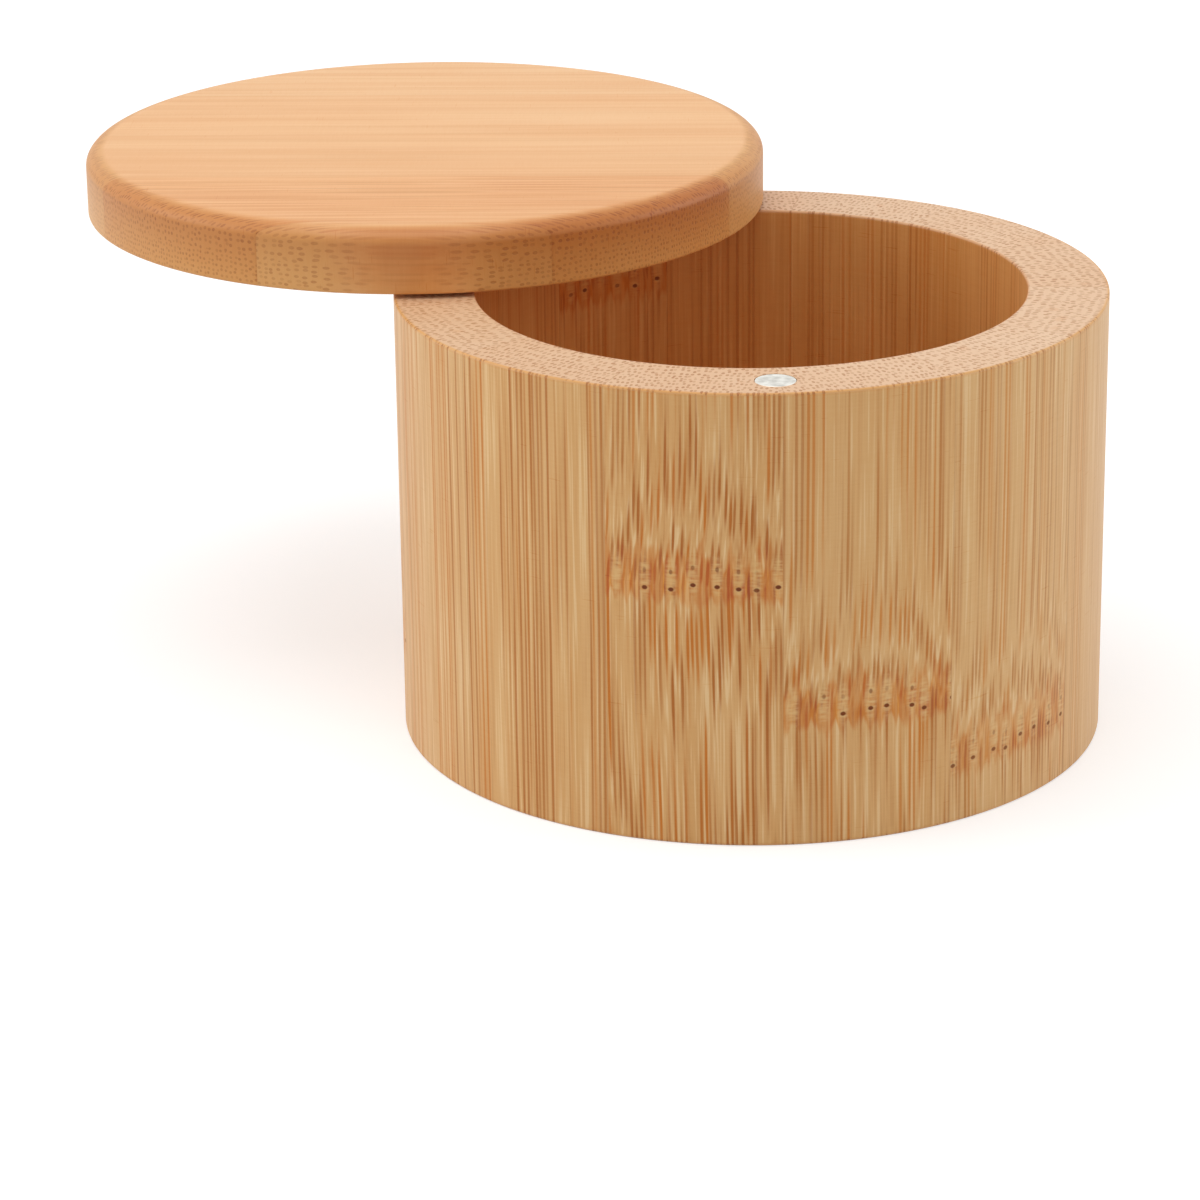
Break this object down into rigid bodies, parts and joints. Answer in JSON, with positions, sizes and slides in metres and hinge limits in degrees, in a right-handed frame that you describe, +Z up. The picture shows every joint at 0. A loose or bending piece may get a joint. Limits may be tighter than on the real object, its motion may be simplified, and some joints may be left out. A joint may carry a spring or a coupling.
{
  "type": "salt box",
  "caption": "Round bamboo salt box: a wall coopered from upright staves, a flush floor board, and a round lid that swivels flat about a pin in the rim and closes with magnets.",
  "frame": {"origin": "centre of the box's underside, on the table", "axes": "+Z up through the mouth; +X to the right and +Y to the back as the picture shows it"},
  "size_m": [0.1337, 0.1294, 0.0665],
  "materials": {
    "bamboo_wall": "sanded bare bamboo, satin",
    "bamboo_floor": "sanded bare bamboo, satin",
    "bamboo_lid": "sanded bare bamboo, satin",
    "steel": "bright drawn steel",
    "nickel": "nickel plated, ground face"
  },
  "bodies": {
    "box": {"stave_01": "bamboo_wall", "stave_02": "bamboo_wall", "stave_03": "bamboo_wall", "stave_04": "bamboo_wall", "stave_05": "bamboo_wall", "stave_06": "bamboo_wall", "stave_07": "bamboo_wall", "stave_08": "bamboo_wall", "stave_09": "bamboo_wall", "stave_10": "bamboo_wall", "stave_11": "bamboo_wall", "stave_12": "bamboo_wall", "stave_13": "bamboo_wall", "floor_strip_1": "bamboo_floor", "floor_strip_2": "bamboo_floor", "floor_strip_3": "bamboo_floor", "floor_strip_4": "bamboo_floor", "pivot_pin": "steel", "spacer_washer": "steel", "rim_magnet": "nickel"},
    "lid": {"lid_strip_1": "bamboo_lid", "lid_strip_2": "bamboo_lid", "lid_strip_3": "bamboo_lid", "lid_strip_4": "bamboo_lid", "lid_strip_5": "bamboo_lid", "lid_magnet": "nickel"}
  },
  "joints": [
    {"name": "lid_swivel", "type": "hinge", "parent": "box", "child": "lid", "pos_m": [-0.00217, 0.04134, 0.0575], "axis": [0, 0, 1], "continuous": true}
  ]
}
